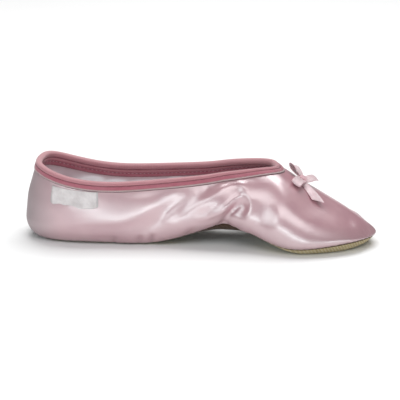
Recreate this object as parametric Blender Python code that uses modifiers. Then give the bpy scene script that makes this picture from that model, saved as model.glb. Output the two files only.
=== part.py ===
"""Satin ballet slipper with a turned suede sole, a bound collar, a side label and a ribbon bow.

Frame: +X runs from heel to toe, +Y to the wearer's left, +Z up, in metres. The origin is on the
floor, under the middle of the shoe. The last is straight, so the two sides mirror each other, and
only the bow and the label tell left from right.
"""

import math
from collections import namedtuple

import bmesh
import bpy
import numpy as np
from mathutils import Matrix, Vector
from mathutils.bvhtree import BVHTree

# Driving dimensions of the last
LENGTH = 0.220  # back of the heel to the tip of the toe, outside
BALL_WIDTH = 0.072  # widest of the forefoot, outside
INSTEP_HEIGHT = 0.047  # floor to the upper's edge at the throat
ARCH_RISE = 0.0095  # underside of the sole at the waist, over the floor
TOE_SPRING = 0.0010  # underside of the sole at the tip, over the floor
EDGE_LIFT = 0.0065  # how far the sole curls up to its seam, at most
EDGE_ROLL = 0.0075  # width of that curled border

# Thicknesses and clearances
WALL = 0.0014  # satin with its cotton lining
SOLE_THICKNESS = 0.0020  # suede
INSOLE_THICKNESS = 0.0012  # padded sock
BINDING_THICKNESS = 0.0009  # folded cotton tape
LABEL_THICKNESS = 0.0005
RIBBON_THICKNESS = 0.0003
GAP = 0.0003  # between pieces that touch

# Trim sizes
BINDING_OUTSIDE = 0.0050  # tape down the outside of the wall
BINDING_INSIDE = 0.0080  # tape down the inside of the wall
INSOLE_MARGIN = 0.0018  # the sock stays this far inside the sole's edge
LABEL_LENGTH = 0.031
LABEL_HEIGHT = 0.0098
LABEL_FROM_HEEL = 0.0195
LABEL_UNDER_BINDING = 0.0006  # at its front end
LABEL_SLANT = 0.0016  # its back end is this much further down
RIBBON_WIDTH = 0.0065
KNOT_LENGTH = 0.0048
KNOT_WIDTH = 0.0062
KNOT_HEIGHT = 0.0034
KNOT_FROM_EDGE = 0.0176  # middle of the knot, down the vamp from the upper's raw edge

# Where the sole leaves the floor, as shares of LENGTH from the heel
ARCH_SHARES = (0.35, 0.575, 0.618, 0.795)  # starts to rise, full height, starts to fall, down again
TOE_SPRING_SHARE = 0.89

# One row for each section of the left half, from the back of the heel round to the tip of the toe.
# Along is a share of LENGTH, out of half BALL_WIDTH, up and rise of INSTEP_HEIGHT, lift of EDGE_LIFT.
#   feather: along, out, lift   seam between upper and sole
#   girth: along, out, up       where the wall stands upright
#   rise: length of the upright stretch over the girth
#   shoulder: along, out, up    pulls the wall over towards the collar
#   collar: along, out, up      raw edge of the upper, inside the binding
Section = namedtuple("Section", "name feather girth rise shoulder collar")
SECTIONS = (
    Section("back", (0.042, 0.00, 0.15), (0.000, 0.00, 0.28), 0.17, (0.016, 0.00, 0.80), (0.040, 0.00, 1.030)),
    Section("back_corner", (0.060, 0.37, 0.15), (0.029, 0.50, 0.28), 0.17, (0.040, 0.49, 0.79), (0.058, 0.46, 1.012)),
    Section("heel_side", (0.130, 0.56, 0.15), (0.123, 0.76, 0.27), 0.17, (0.126, 0.74, 0.70), (0.131, 0.67, 0.905)),
    Section("heel_front", (0.250, 0.57, 0.15), (0.250, 0.775, 0.26), 0.15, (0.248, 0.74, 0.64), (0.245, 0.65, 0.835)),
    Section("waist", (0.386, 0.56, 0.20), (0.386, 0.735, 0.29), 0.13, (0.384, 0.68, 0.66), (0.382, 0.565, 0.868)),
    Section("arch", (0.520, 0.55, 0.42), (0.517, 0.705, 0.41), 0.11, (0.513, 0.61, 0.75), (0.508, 0.47, 0.925)),
    Section("notch", (0.590, 0.58, 0.95), (0.586, 0.725, 0.52), 0.08, (0.578, 0.61, 0.80), (0.570, 0.43, 0.970)),
    Section("fold", (0.648, 0.66, 0.45), (0.645, 0.785, 0.40), 0.12, (0.634, 0.62, 0.84), (0.622, 0.39, 1.000)),
    Section("joint", (0.727, 0.86, 0.38), (0.727, 0.93, 0.27), 0.17, (0.695, 0.69, 0.83), (0.670, 0.325, 1.020)),
    Section("ball", (0.812, 0.95, 0.72), (0.812, 1.00, 0.19), 0.19, (0.752, 0.60, 0.82), (0.702, 0.235, 1.022)),
    Section("toe_side", (0.917, 0.71, 0.98), (0.920, 0.745, 0.18), 0.13, (0.818, 0.36, 0.68), (0.7145, 0.115, 1.010)),
    Section("toe_corner", (0.974, 0.38, 0.92), (0.977, 0.40, 0.16), 0.08, (0.852, 0.17, 0.61), (0.7175, 0.055, 1.002)),
    Section("tip", (0.997, 0.00, 0.82), (1.000, 0.00, 0.155), 0.06, (0.877, 0.00, 0.560), (0.7185, 0.000, 1.000)),
)
STEPS_PER_SECTION = 4  # facets between two rows of the table
TURN_IN_SHARE = 0.05  # first row over the seam, close to it so that the edge lies flat beside the sole's
ROWS_BELOW_GIRTH = 3
ROWS_ABOVE_GIRTH = 8
SOLE_BORDER_STEPS = 3
UNDER_TURN_SHARE = 0.55  # fullness of the turn under the girth, 0.55 being a quarter ellipse

# One row for each arm of the bow. Turn is its angle in degrees, from the toe towards the wearer's left.
# The rest are in ribbon widths: reach past the knot, opening of a loop, lift of its outer end off the
# satin, and tilt, which is how much higher its left edge stands, looking out from the knot.
Arm = namedtuple("Arm", "name turn reach opening lift tilt")
LOOPS = (
    Arm("bow_loop_right", -104, 1.80, 0.52, 0.00, 0.00),
    Arm("bow_loop_left", 138, 1.65, 0.60, 0.28, 0.00),
)
TAILS = (
    Arm("bow_tail_right", -48, 2.78, 0.00, 0.06, 0.30),
    Arm("bow_tail_left", 58, 1.97, 0.00, 0.72, 0.16),
)
LOOP_STEPS = 14
TAIL_STEPS = 6
LOOP_ROOT = 0.6  # opening of a loop beside the knot, as a share of its widest
RIBBON_PINCH = 0.62  # width of the ribbon at the knot, as a share of RIBBON_WIDTH
PINCHED_SHARE = 0.4  # of an arm's reach, over which the ribbon spreads to its width
TAIL_SLANT = 0.7  # of the cut at a tail's end, as a share of RIBBON_WIDTH
TAIL_ARCH = math.radians(108)  # part of an arch that a tail makes over the satin
KNOT_ROUNDING = 0.38  # of its edges, as a share of KNOT_HEIGHT

# Facets of the trim, and the round of the tape over the upper's raw edge
LABEL_ROWS = 5
LABEL_COLUMNS = 11
ROLL_ANGLES = (25, 68, 112, 155)
ROLL_RISE = 0.42  # height of that round, as a share of half its width
ROLL_LIFT = 0.2  # its foot over the wall's edge, as a share of the tape's thickness
RIM_STEP = 0.01  # of v, for the wall's direction at the collar


def ease(value, start, end):
    """0 before start, 1 after end, with a level tangent at both."""
    t = np.clip((value - start) / (end - start), 0.0, 1.0)
    return t * t * (3 - 2 * t)


def underside(along):
    """Height of the sole's underside on its centre line, at a distance from the back of the heel."""
    share = along / LENGTH
    starts, full, falls, ends = ARCH_SHARES
    arch = ease(share, starts, full) * (1 - ease(share, falls, ends))
    return ARCH_RISE * arch + TOE_SPRING * ease(share, TOE_SPRING_SHARE, 1.0)


def section_controls(section):
    """The five control points of a section's wall, from the seam up to the collar."""
    size = np.array([LENGTH, BALL_WIDTH / 2, INSTEP_HEIGHT])
    girth, shoulder, collar = (np.array(p) * size for p in (section.girth, section.shoulder, section.collar))
    along, out, lift = section.feather
    feather = np.array([along * LENGTH, out * BALL_WIDTH / 2, 0.0])
    feather[2] = underside(feather[0]) + lift * EDGE_LIFT
    upright = girth + [0, 0, section.rise * INSTEP_HEIGHT]
    return np.array([feather, girth, upright, shoulder, collar])


def closed_spline(points):
    """Second derivatives of the smooth closed line through the points, one unit of u apart."""
    count = len(points)
    shifted = np.roll(np.eye(count), 1, axis=0)
    system = 4 * np.eye(count) + shifted + shifted.T
    bends = 6 * (np.roll(points, -1, axis=0) - 2 * points + np.roll(points, 1, axis=0))
    return np.linalg.solve(system, bends.reshape(count, -1)).reshape(points.shape)


MIRROR = np.array([1.0, -1.0, 1.0])
HALF = [section_controls(s) for s in SECTIONS]
CONTROLS = np.array(HALF + [c * MIRROR for c in HALF[-2:0:-1]])
BENDS = closed_spline(CONTROLS)
TURNS = len(CONTROLS)
STATIONS = TURNS * STEPS_PER_SECTION


def controls_at(u):
    """Control points at u, which counts rows of the table and runs on round the right side."""
    i = int(math.floor(u))
    t = u - i
    a, b = i % TURNS, (i + 1) % TURNS
    s = 1 - t
    return (
        s * CONTROLS[a]
        + t * CONTROLS[b]
        + (s**3 - s) / 6 * BENDS[a]
        + (t**3 - t) / 6 * BENDS[b]
    )


def bezier(p, t):
    s = 1 - t
    return s**3 * p[0] + 3 * s * s * t * p[1] + 3 * s * t * t * p[2] + t**3 * p[3]


def skin(u, v):
    """Outside of the upper. v is 0 at the sole seam, 1 at the girth and 2 at the collar."""
    feather, girth, upright, shoulder, collar = controls_at(u)
    if v < 1:
        reach = (girth - feather) * UNDER_TURN_SHARE
        under = feather + [reach[0], reach[1], 0]
        beside = girth - [0, 0, reach[2]]
        return bezier((feather, under, beside, girth), v)
    return bezier((girth, upright, shoulder, collar), v - 1)


def skin_normal(u, v, step=1e-3):
    """Unit normal of the skin, facing out of the shoe."""
    v = min(max(v, step), 2 - step)
    across = skin(u + step, v) - skin(u - step, v)
    upward = skin(u, v + step) - skin(u, v - step)
    normal = np.cross(upward, across)
    return normal / np.linalg.norm(normal)


MIDDLE = LENGTH * (SECTIONS[0].girth[0] + SECTIONS[-1].girth[0]) / 2


def placed(point):
    """From the last's own measure, which starts at the heel, to the frame's origin."""
    return Vector((point[0] - MIDDLE, point[1], point[2]))


def loft(rows, closed_rows=True, closed_columns=False):
    """Mesh through rows of points, of the same count each."""
    mesh = bmesh.new()
    grid = [[mesh.verts.new(placed(p)) for p in row] for row in rows]
    columns = len(grid[0])
    row_pairs = list(zip(grid, grid[1:]))
    if closed_columns:
        row_pairs.append((grid[-1], grid[0]))
    last = columns if closed_rows else columns - 1
    for low, high in row_pairs:
        for i in range(last):
            j = (i + 1) % columns
            mesh.faces.new((low[i], low[j], high[j], high[i]))
    return mesh, grid


def material(name, colour, roughness):
    made = bpy.data.materials.new(name)
    made.use_nodes = True
    shader = made.node_tree.nodes["Principled BSDF"]
    shader.inputs["Base Color"].default_value = (*colour, 1.0)
    shader.inputs["Roughness"].default_value = roughness
    made.diffuse_color = (*colour, 1.0)
    return made


def finish(mesh, name, finish_material, thickness=0.0):
    """Makes the bmesh an object of that name. A thickness goes on against the faces' normals."""
    bmesh.ops.recalc_face_normals(mesh, faces=mesh.faces)
    data = bpy.data.meshes.new(name)
    mesh.to_mesh(data)
    mesh.free()
    data.shade_smooth()
    data.set_sharp_from_angle(angle=math.radians(40))
    data.materials.append(finish_material)
    obj = bpy.data.objects.new(name, data)
    SLIPPER.objects.link(obj)
    if thickness:
        wall = obj.modifiers.new("Wall", "SOLIDIFY")
        wall.thickness = thickness
        wall.offset = -1.0
        wall.use_even_offset = True
    return obj


def face_outwards(mesh, hint):
    """Turns an open sheet's faces so that the first one faces along the hint."""
    mesh.faces.ensure_lookup_table()
    mesh.normal_update()
    if mesh.faces[0].normal.dot(hint) < 0:
        bmesh.ops.reverse_faces(mesh, faces=mesh.faces)


def finish_sheet(mesh, name, finish_material, thickness, hint):
    """An open sheet whose faces look along the hint, with its thickness behind them."""
    face_outwards(mesh, Vector(hint))
    data = bpy.data.meshes.new(name)
    mesh.to_mesh(data)
    mesh.free()
    data.shade_smooth()
    data.materials.append(finish_material)
    obj = bpy.data.objects.new(name, data)
    SLIPPER.objects.link(obj)
    wall = obj.modifiers.new("Wall", "SOLIDIFY")
    wall.thickness = thickness
    wall.offset = -1.0
    wall.use_even_offset = True
    return obj


def stations():
    return [i / STEPS_PER_SECTION for i in range(STATIONS)]


def wall_levels():
    below = [i / ROWS_BELOW_GIRTH for i in range(1, ROWS_BELOW_GIRTH)]
    above = [1 + i / ROWS_ABOVE_GIRTH for i in range(ROWS_ABOVE_GIRTH + 1)]
    return [0.0, TURN_IN_SHARE] + below + above


def make_upper(satin):
    """The whole upper as one hollow wall, open at the collar and underneath."""
    rows = [[skin(u, v) for u in stations()] for v in wall_levels()]
    mesh, _ = loft(rows)
    return finish_sheet(mesh, "upper", satin, WALL, (-1, 0, -1))


def sole_point(u, inset):
    """Underside of the sole, at a distance in from the seam."""
    step = 1e-3
    seam = controls_at(u)[0]
    along = controls_at(u + step)[0] - controls_at(u - step)[0]
    inward = np.array([along[1], -along[0]])
    inward /= np.linalg.norm(inward)
    x, y = seam[:2] + inward * inset
    lift = seam[2] - underside(seam[0])
    return np.array([x, y, underside(x) + lift * (1 - inset / EDGE_ROLL) ** 2])


def sole_normal(u, inset, step=1e-4):
    """Unit normal of the sole's underside, facing up into the shoe."""
    inset = min(max(inset, step), EDGE_ROLL - step)
    across = sole_point(u + 10 * step, inset) - sole_point(u - 10 * step, inset)
    inward = sole_point(u, inset + step) - sole_point(u, inset - step)
    normal = np.cross(across, inward)
    normal /= np.linalg.norm(normal)
    return normal if normal[2] > 0 else -normal


def dished_sheet(first_inset, height):
    """Sheet at a height over the sole's underside: a curled border, and flat strips across the middle."""
    insets = np.linspace(0, EDGE_ROLL, SOLE_BORDER_STEPS + 1)
    insets[0] = first_inset
    rows = [
        [sole_point(u, d) + height * sole_normal(u, d) for u in stations()]
        for d in insets
    ]
    mesh, grid = loft(rows)
    inner = grid[-1]
    half = STATIONS // 2
    mesh.faces.new((inner[0], inner[1], inner[-1]))
    for i in range(1, half - 1):
        mesh.faces.new((inner[i], inner[i + 1], inner[-i - 1], inner[-i]))
    mesh.faces.new((inner[half - 1], inner[half], inner[-half + 1]))
    return mesh


def make_sole(suede):
    mesh = dished_sheet(GAP, 0.0)
    return finish_sheet(mesh, "sole", suede, SOLE_THICKNESS, (0, 0, -1))


def make_insole(cotton):
    mesh = dished_sheet(INSOLE_MARGIN, SOLE_THICKNESS + GAP)
    return finish_sheet(mesh, "insole", cotton, INSOLE_THICKNESS, (0, 0, -1))


def level_under_collar(u, distance):
    """The v at which the wall has come that far down from its edge."""
    levels = np.linspace(2.0, 1.0, 33)
    points = np.array([skin(u, v) for v in levels])
    lengths = np.concatenate([[0], np.cumsum(np.linalg.norm(np.diff(points, axis=0), axis=1))])
    return float(np.interp(distance, lengths, levels))


def binding_profile(u):
    """Closed section of the tape folded over the wall's edge."""
    inner_gap = WALL + GAP
    thick = BINDING_THICKNESS
    edge = skin(u, 2.0)
    up = edge - skin(u, 2.0 - RIM_STEP)
    up /= np.linalg.norm(up)

    def beside(distance, off):
        v = level_under_collar(u, distance)
        return skin(u, v) + off * skin_normal(u, v)

    def over(height, off):
        return edge + up * height + off * skin_normal(u, 2.0)

    middle = -WALL / 2
    half = WALL / 2 + GAP + thick
    roll = [
        over(GAP + thick * ROLL_LIFT + half * ROLL_RISE * math.sin(a), middle + half * math.cos(a))
        for a in np.radians(ROLL_ANGLES)
    ]
    outside = [beside(BINDING_OUTSIDE * s, GAP + thick) for s in (1.0, 0.5)]
    inside = [beside(BINDING_INSIDE * s, -inner_gap - thick) for s in (0.5, 1.0)]
    back = [beside(BINDING_INSIDE * s, -inner_gap) for s in (1.0, 0.5)]
    under = [over(GAP, -inner_gap), over(GAP, GAP)]
    front = [beside(BINDING_OUTSIDE * s, GAP) for s in (0.5, 1.0)]
    return outside + roll + inside + back + under + front


def make_binding(tape):
    """Cotton tape round the collar, with a longer leg inside."""
    rows = [binding_profile(u) for u in stations()]
    mesh, _ = loft(rows, closed_columns=True)
    return finish(mesh, "collar_binding", tape)


def label_patch(off):
    """Rows of points of the label at a distance off the skin, on the wearer's right."""
    back = TURNS - level_along(LABEL_FROM_HEEL)
    front = TURNS - level_along(LABEL_FROM_HEEL + LABEL_LENGTH)
    top = BINDING_OUTSIDE + LABEL_UNDER_BINDING
    rows = []
    for distance in np.linspace(top, top + LABEL_HEIGHT, LABEL_ROWS):
        row = []
        for share in np.linspace(0, 1, LABEL_COLUMNS):
            u = back + (front - back) * share
            v = level_under_collar(u, distance + LABEL_SLANT * (1 - share))
            row.append(skin(u, v) + off * skin_normal(u, v))
        rows.append(row)
    return rows


def level_along(distance):
    """The u of the left half at which the girth is that far from the heel."""
    us = np.linspace(0, TURNS / 2, 25)
    return float(np.interp(distance, [controls_at(u)[1][0] for u in us], us))


def make_label(cloth):
    """Woven label sewn flat to the outer side of the heel."""
    mesh, _ = loft(label_patch(GAP + LABEL_THICKNESS), closed_rows=False)
    return finish_sheet(mesh, "side_label", cloth, LABEL_THICKNESS, (0, -1, 0))


class BowSeat:
    """The place of the bow on the vamp, and a way to lay ribbon on the satin round it."""

    def __init__(self):
        u = TURNS / 2
        v = level_under_collar(u, KNOT_FROM_EDGE)
        self.centre = placed(skin(u, v))
        self.normal = Vector(skin_normal(u, v))
        self.left = Vector((0, 1, 0))
        self.ahead = self.left.cross(self.normal).normalized()
        rows = [[skin(s, w) for s in stations()] for w in wall_levels()]
        mesh, _ = loft(rows)
        face_outwards(mesh, Vector((-1, 0, -1)))
        self.satin = BVHTree.FromBMesh(mesh)
        mesh.free()

    def lay(self, ahead, left, off):
        """Point over the satin, given distances from the knot along the vamp, and the height off it."""
        start = self.centre + self.ahead * ahead + self.left * left + self.normal * KNOT_LENGTH * 4
        hit, normal, _, _ = self.satin.ray_cast(start, -self.normal)
        return hit + (normal * 0.5 + self.normal * 0.5).normalized() * off

    def arm(self, arm, reach, across, off):
        turn = math.radians(arm.turn)
        ahead = reach * math.cos(turn) - across * math.sin(turn)
        left = reach * math.sin(turn) + across * math.cos(turn)
        return self.lay(ahead, left, off)


def spread(share):
    """Width of the ribbon at a share of its way out from the knot."""
    opened = math.sin(min(1.0, share / PINCHED_SHARE) * math.pi / 2)
    return RIBBON_PINCH + (1 - RIBBON_PINCH) * opened


def unplaced(point):
    return (point[0] + MIDDLE, point[1], point[2])


def make_loop(seat, arm, ribbon):
    """One loop: a band of ribbon that leaves the knot, turns over and comes back on top of itself."""
    start = max(KNOT_LENGTH, KNOT_WIDTH) / 2 + GAP
    rows = []
    for across in np.linspace(-0.5, 0.5, 3) * RIBBON_WIDTH:
        row = []
        for i in range(LOOP_STEPS):
            a = 2 * math.pi * i / LOOP_STEPS
            share = (1 - math.cos(a)) / 2
            swell = math.sin(a) * (LOOP_ROOT + (1 - LOOP_ROOT) * share)
            off = 2 * GAP + RIBBON_WIDTH * (arm.opening * (0.5 + 0.5 * swell) + arm.lift * share)
            width = across * spread(share)
            row.append(unplaced(seat.arm(arm, start + RIBBON_WIDTH * arm.reach * share, width, off)))
        rows.append(row)
    mesh, _ = loft(rows)
    return finish(mesh, arm.name, ribbon, RIBBON_THICKNESS)


def make_tail(seat, arm, ribbon):
    """One tail: ribbon laid down the vamp, cut off at a slant."""
    start = max(KNOT_LENGTH, KNOT_WIDTH) / 2 + GAP
    rows = []
    for i in range(TAIL_STEPS + 1):
        share = i / TAIL_STEPS
        row = []
        for side in (-0.5, 0.0, 0.5):
            width = side * RIBBON_WIDTH * spread(share)
            slant = share * side * RIBBON_WIDTH * TAIL_SLANT
            rise = RIBBON_WIDTH * (arm.lift + arm.tilt * (0.5 + side)) * math.sin(share * TAIL_ARCH)
            off = RIBBON_THICKNESS + 2 * GAP + rise
            row.append(unplaced(seat.arm(arm, start + RIBBON_WIDTH * arm.reach * share + slant, width, off)))
        rows.append(row)
    mesh, _ = loft(rows, closed_rows=False)
    return finish_sheet(mesh, arm.name, ribbon, RIBBON_THICKNESS, seat.normal)


def make_knot(seat, ribbon):
    """The ribbon's wrap at the middle of the bow, a pillow with rounded edges."""
    mesh = bmesh.new()
    bmesh.ops.create_cube(mesh, size=1.0)
    bmesh.ops.scale(mesh, vec=(KNOT_LENGTH, KNOT_WIDTH, KNOT_HEIGHT), verts=mesh.verts)
    bmesh.ops.bevel(
        mesh,
        geom=mesh.edges[:],
        offset=KNOT_HEIGHT * KNOT_ROUNDING,
        segments=3,
        profile=0.5,
        affect="EDGES",
        material=-1,
    )
    base = seat.centre + seat.normal * (KNOT_HEIGHT / 2 + GAP)
    turned = Matrix((seat.ahead, seat.left, seat.normal)).transposed().to_4x4()
    bmesh.ops.transform(mesh, matrix=Matrix.Translation(base) @ turned, verts=mesh.verts)
    return finish(mesh, "bow_knot", ribbon)


for old in list(bpy.data.objects):
    bpy.data.objects.remove(old)
SLIPPER = bpy.data.collections.new("ballet_slipper")
bpy.context.scene.collection.children.link(SLIPPER)


def main():
    satin = material("pink_satin", (0.62, 0.36, 0.40), 0.35)
    suede = material("beige_suede", (0.46, 0.38, 0.22), 0.90)
    cotton = material("white_cotton", (0.72, 0.68, 0.70), 0.85)
    tape = material("rose_tape", (0.50, 0.17, 0.21), 0.75)
    ribbon = material("pink_ribbon", (0.70, 0.44, 0.48), 0.35)
    woven = material("white_label", (0.75, 0.72, 0.72), 0.60)
    make_upper(satin)
    make_sole(suede)
    make_insole(cotton)
    make_binding(tape)
    make_label(woven)
    seat = BowSeat()
    for arm in LOOPS:
        make_loop(seat, arm, ribbon)
    for arm in TAILS:
        make_tail(seat, arm, ribbon)
    make_knot(seat, ribbon)


main()
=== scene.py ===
"""Looks of a pink satin ballet slipper: creased satin, cotton lining, tape, suede, label and bow."""

import math
from collections import namedtuple

import bmesh
import bpy
import numpy as np
from mathutils import Matrix, Vector, noise
from mathutils.bvhtree import BVHTree


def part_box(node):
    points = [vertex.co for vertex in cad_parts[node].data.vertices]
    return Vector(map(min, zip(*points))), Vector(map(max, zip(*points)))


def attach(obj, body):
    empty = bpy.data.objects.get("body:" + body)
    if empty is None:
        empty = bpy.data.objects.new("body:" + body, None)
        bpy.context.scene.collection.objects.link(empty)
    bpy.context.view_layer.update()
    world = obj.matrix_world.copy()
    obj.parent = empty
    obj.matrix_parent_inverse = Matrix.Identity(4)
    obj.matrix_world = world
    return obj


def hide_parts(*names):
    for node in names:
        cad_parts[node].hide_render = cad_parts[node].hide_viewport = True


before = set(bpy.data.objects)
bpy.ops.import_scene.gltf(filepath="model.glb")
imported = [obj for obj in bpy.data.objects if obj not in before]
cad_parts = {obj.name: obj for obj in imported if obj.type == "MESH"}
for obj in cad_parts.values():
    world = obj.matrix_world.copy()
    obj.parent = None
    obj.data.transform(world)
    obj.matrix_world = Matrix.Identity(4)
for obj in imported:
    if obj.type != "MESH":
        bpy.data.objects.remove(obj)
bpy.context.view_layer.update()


def table(columns, *rows):
    """Rows whose values are read by the names of their columns."""
    row_type = namedtuple("Row", columns)
    return [row_type(*row) for row in rows]


# Driving dimensions of the last in metres: its length from the frame, the rest as its solids have them
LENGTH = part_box("upper")[1].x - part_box("upper")[0].x
BALL_WIDTH = 0.072
INSTEP_HEIGHT = 0.047
ARCH_RISE = 0.0095
TOE_SPRING = 0.0010
EDGE_LIFT = 0.0065
EDGE_ROLL = 0.0075
MIDDLE = LENGTH / 2
MM = 0.001

# Thicknesses and clearances
WALL = 0.0014
SATIN = 0.0006
LINING = 0.0001
TAPE_THICKNESS = 0.00028
SOLE_THICKNESS = 0.0020
INSOLE_THICKNESS = 0.0012
LABEL_THICKNESS = 0.0003
RIBBON_THICKNESS = 0.00028
GAP = 0.0003
SAG = 0.0013
SOCK_INSET = 0.0006
SOCK_OVERHANG = 0.0012

# Trim sizes
LABEL_LENGTH = 0.031
LABEL_HEIGHT = 0.0098
LABEL_FROM_HEEL = 0.0195
LABEL_UNDER_TAPE = 0.0056
LABEL_SLANT = 0.0016
RIBBON_WIDTH = 0.0065
KNOT_LENGTH = 0.0048
KNOT_WIDTH = 0.0062
KNOT_HEIGHT = 0.0034
KNOT_FROM_EDGE = 0.0176

# Cells of each sheet, round the shoe or along the piece, and across it
SATIN_CELLS = (600, 62)
LINING_CELLS = (384, 44)
TAPE_CELLS = (480, 69)
SOLE_CELLS = (480, 20)
SOCK_CELLS = (384, 16)
LABEL_CELLS = (90, 30)
LOOP_CELLS = (56, 12)
TAIL_CELLS = (40, 12)

# How the sole's underside leaves the floor, as shares of LENGTH from the heel
ARCH_SHARES = (0.35, 0.575, 0.618, 0.795)
TOE_SPRING_SHARE = 0.89

# One row for each section of the left half, from the back of the heel round to the tip of the toe.
# Along is a share of LENGTH, out of half BALL_WIDTH, up and rise of INSTEP_HEIGHT, lift of EDGE_LIFT.
SECTIONS = table(
    "name feather girth rise shoulder collar",
    ("back", (0.042, 0.0, 0.15), (0.0, 0.0, 0.28), 0.17, (0.016, 0.0, 0.8), (0.04, 0.0, 1.03)),
    ("back_corner", (0.06, 0.37, 0.15), (0.029, 0.5, 0.28), 0.17, (0.04, 0.49, 0.79), (0.058, 0.46, 1.012)),
    ("heel_side", (0.13, 0.56, 0.15), (0.123, 0.76, 0.27), 0.17, (0.126, 0.74, 0.7), (0.131, 0.67, 0.905)),
    ("heel_front", (0.25, 0.57, 0.15), (0.25, 0.775, 0.26), 0.15, (0.248, 0.74, 0.64), (0.245, 0.65, 0.835)),
    ("waist", (0.386, 0.56, 0.2), (0.386, 0.735, 0.29), 0.13, (0.384, 0.68, 0.66), (0.382, 0.565, 0.868)),
    ("arch", (0.52, 0.55, 0.42), (0.517, 0.705, 0.41), 0.11, (0.513, 0.61, 0.75), (0.508, 0.47, 0.925)),
    ("notch", (0.59, 0.58, 0.95), (0.586, 0.725, 0.52), 0.08, (0.578, 0.61, 0.8), (0.57, 0.43, 0.97)),
    ("fold", (0.648, 0.66, 0.45), (0.645, 0.785, 0.4), 0.12, (0.634, 0.62, 0.84), (0.622, 0.39, 1.0)),
    ("joint", (0.727, 0.86, 0.38), (0.727, 0.93, 0.27), 0.17, (0.695, 0.69, 0.83), (0.67, 0.325, 1.02)),
    ("ball", (0.812, 0.95, 0.72), (0.812, 1.0, 0.19), 0.19, (0.752, 0.6, 0.82), (0.702, 0.235, 1.022)),
    ("toe_side", (0.917, 0.71, 0.98), (0.92, 0.745, 0.18), 0.13, (0.818, 0.36, 0.68), (0.7145, 0.115, 1.01)),
    ("toe_corner", (0.974, 0.38, 0.92), (0.977, 0.4, 0.16), 0.08, (0.852, 0.17, 0.61),
     (0.7175, 0.055, 1.002)),
    ("tip", (0.997, 0.0, 0.82), (1.0, 0.0, 0.155), 0.06, (0.877, 0.0, 0.56), (0.7185, 0.0, 1.0)),
)
UNDER_TURN_SHARE = 0.55

# Rows of a cloth wall go up to the rim, and lie closer together near the sole seam
LEVEL_TOP = 2.0
LEVEL_EASE = 1.1

# The share of the sole's rows that its curled border takes
BORDER_SHARE = 0.6

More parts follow.
